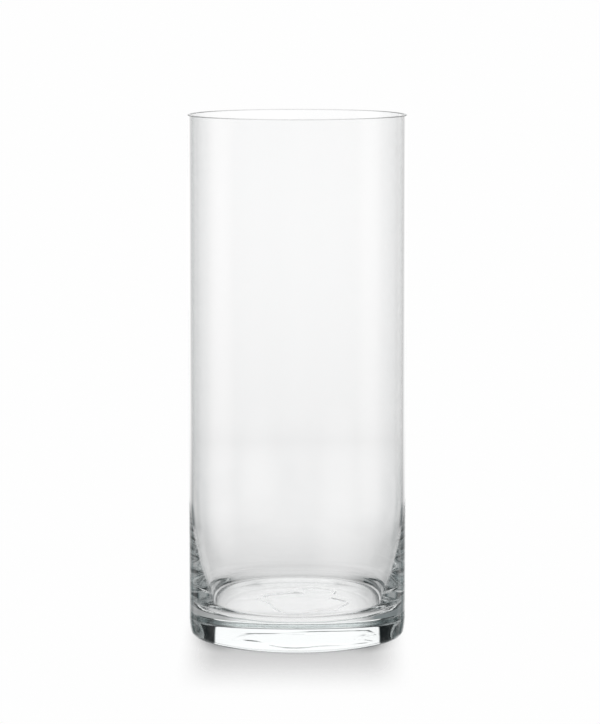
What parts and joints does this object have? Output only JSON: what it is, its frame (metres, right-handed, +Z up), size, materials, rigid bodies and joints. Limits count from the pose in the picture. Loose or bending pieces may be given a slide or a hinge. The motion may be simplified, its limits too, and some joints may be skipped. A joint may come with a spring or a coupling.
{
  "type": "cylinder vase",
  "caption": "Tall straight-sided clear glass cylinder vase with a thick heavy base, rounded heel and fire-polished rim, for holding cut flowers in water.",
  "frame": {"origin": "on the vase's axis, at the resting plane under the base", "axes": "+Z up along the axis, out of the mouth; X and Y are any two radial directions, because the vase is round"},
  "size_m": [0.127, 0.127, 0.305],
  "materials": {
    "clear_glass": "clear, polished, faint grey-green in its thickness"
  },
  "bodies": {
    "root": {"base": "clear_glass", "wall": "clear_glass", "rim": "clear_glass"}
  },
  "joints": []
}
